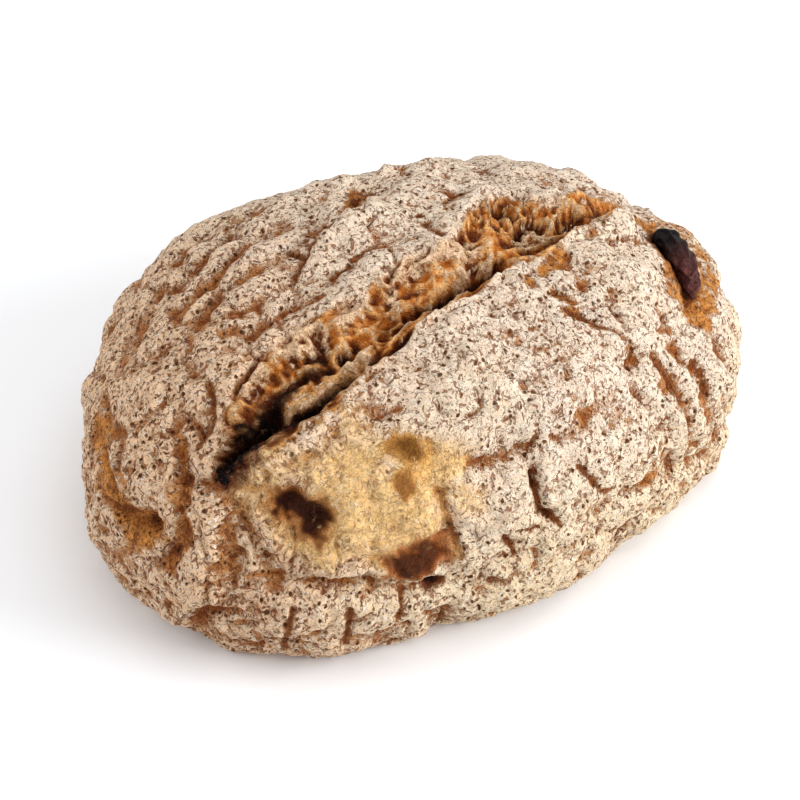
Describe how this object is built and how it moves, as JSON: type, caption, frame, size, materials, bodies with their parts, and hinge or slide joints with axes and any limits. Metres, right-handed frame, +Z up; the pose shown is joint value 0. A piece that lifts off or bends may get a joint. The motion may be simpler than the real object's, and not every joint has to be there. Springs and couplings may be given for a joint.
{
  "type": "gluten-free sourdough loaf",
  "caption": "Small free-form oval loaf with a knobbly floured crust, torn open along its top, dried fruit showing at one end and dark fruit stains in front.",
  "frame": {"origin": "centre of the outline seen from above, at the level of the flat base", "axes": "+Z up from the flat base, +X along the loaf's long side towards the end with the dried fruit, -Y towards the floured slab and the pale lobe"},
  "size_m": [0.1908, 0.1391, 0.0847],
  "materials": {
    "crust": "matte baked crust under a broken layer of flour, caramel brown and glossier where torn",
    "dried_fruit": "dark purple-brown wrinkled skin with a dull sheen"
  },
  "bodies": {
    "root": {"loaf": "crust", "dried_fruit": "dried_fruit"}
  },
  "joints": []
}
